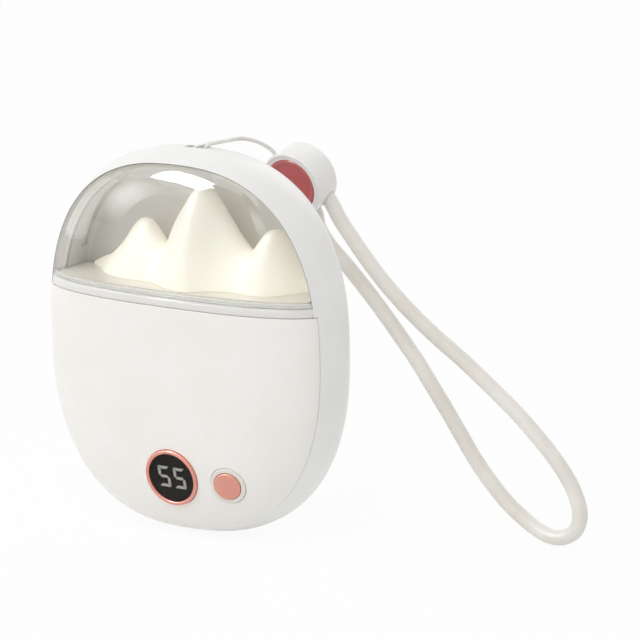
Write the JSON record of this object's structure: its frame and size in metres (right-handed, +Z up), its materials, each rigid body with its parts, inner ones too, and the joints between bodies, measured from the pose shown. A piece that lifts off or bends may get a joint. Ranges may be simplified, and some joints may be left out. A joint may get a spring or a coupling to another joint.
{
  "type": "rechargeable hand warmer",
  "caption": "Rounded pocket hand warmer with a lit mountain scene behind a clear window, a small round display, a push button and a soft wrist strap on a drum.",
  "frame": {"origin": "centre of the body's footprint on the surface that it stands on", "axes": "+Z up along the body's height, -Y out of the front with the window, display and button, +X to the right seen from the front"},
  "size_m": [0.1144, 0.0377, 0.0825],
  "materials": {
    "body_plastic": "satin off-white moulded plastic",
    "cover_plastic": "smooth warm white moulded plastic",
    "clear_plastic": "clear polycarbonate",
    "foam_tape": "white adhesive foam tape",
    "scene_grey_plastic": "silvery grey moulded plastic",
    "mountain_resin": "translucent cream resin, lit from below",
    "circuit_board": "solder mask on glass-fibre board",
    "led_phosphor": "yellow phosphor package",
    "rose_metal": "rose anodised, finely polished",
    "lit_numerals": "lit numerals",
    "display_black": "dark display panel",
    "black_plastic": "moulded black plastic",
    "grey_plastic": "moulded light grey plastic",
    "plated_steel": "nickel plated",
    "cell_film": "aluminium laminate pouch",
    "foam": "closed-cell foam",
    "heat_aluminium": "plain rolled sheet",
    "polyimide_film": "amber film with etched heater track",
    "ferrite": "sintered ferrite",
    "ceramic_tan": "chip capacitor body with tinned ends",
    "ivory_plastic": "moulded connector housing",
    "wire_red": "silicone insulation",
    "wire_white": "silicone insulation",
    "cord_nylon": "fine braided nylon cord",
    "drum_plastic": "satin white moulded plastic",
    "rose_gloss": "dusty rose, glossy",
    "strap_silicone": "soft translucent white silicone"
  },
  "bodies": {
    "body": {"housing": "body_plastic", "front_cover": "cover_plastic", "rear_cover": "body_plastic", "window_lens": "clear_plastic", "lens_gasket": "foam_tape", "scene_shell": "scene_grey_plastic", "scene_floor": "scene_grey_plastic", "mountains": "mountain_resin", "night_light_board": "circuit_board", "night_light_leds": "led_phosphor", "display_ring": "rose_metal", "display_glass": "clear_plastic", "display_digits": "lit_numerals", "display_panel": "display_black", "display_module": "black_plastic", "button_ring": "grey_plastic", "tact_switch": "black_plastic", "inner_frame": "grey_plastic", "frame_screws": "plated_steel", "rear_cell": "cell_film", "front_cell": "cell_film", "protection_board": "circuit_board", "rear_pad": "foam", "front_pad": "foam", "rear_heat_plate": "heat_aluminium", "rear_heater_film": "polyimide_film", "front_heat_plate": "heat_aluminium", "front_heater_film": "polyimide_film", "thermistors": "black_plastic", "main_board": "circuit_board", "board_screws": "plated_steel", "controller_chip": "black_plastic", "charger_chip": "black_plastic", "power_inductor": "ferrite", "capacitors": "ceramic_tan", "battery_connector": "ivory_plastic", "usb_shell": "plated_steel", "usb_tongue": "black_plastic", "battery_leads": "wire_red", "heater_leads": "wire_white", "light_leads": "wire_white", "eyelet_bar": "plated_steel", "lanyard_cord": "cord_nylon", "drum_body": "drum_plastic", "drum_cap": "rose_gloss", "cord_crimp": "plated_steel", "strap_tube": "strap_silicone"},
    "button": {"button_cap": "rose_metal"},
    "plunger": {"switch_plunger": "black_plastic"}
  },
  "joints": [
    {"name": "button_press", "type": "slide", "parent": "body", "child": "button", "axis": [-0.1501, 0.9694, 0.1942], "range_m": [0, 0.0004], "stiffness_N_per_m": 2500, "springref_m": -0.0002},
    {"name": "switch_press", "type": "slide", "parent": "body", "child": "plunger", "axis": [0, 1, 0], "range_m": [0, 0.00039]}
  ],
  "couplings": [
    {"joint": "switch_press", "follows": "button_press", "ratio": 0.9694}
  ]
}
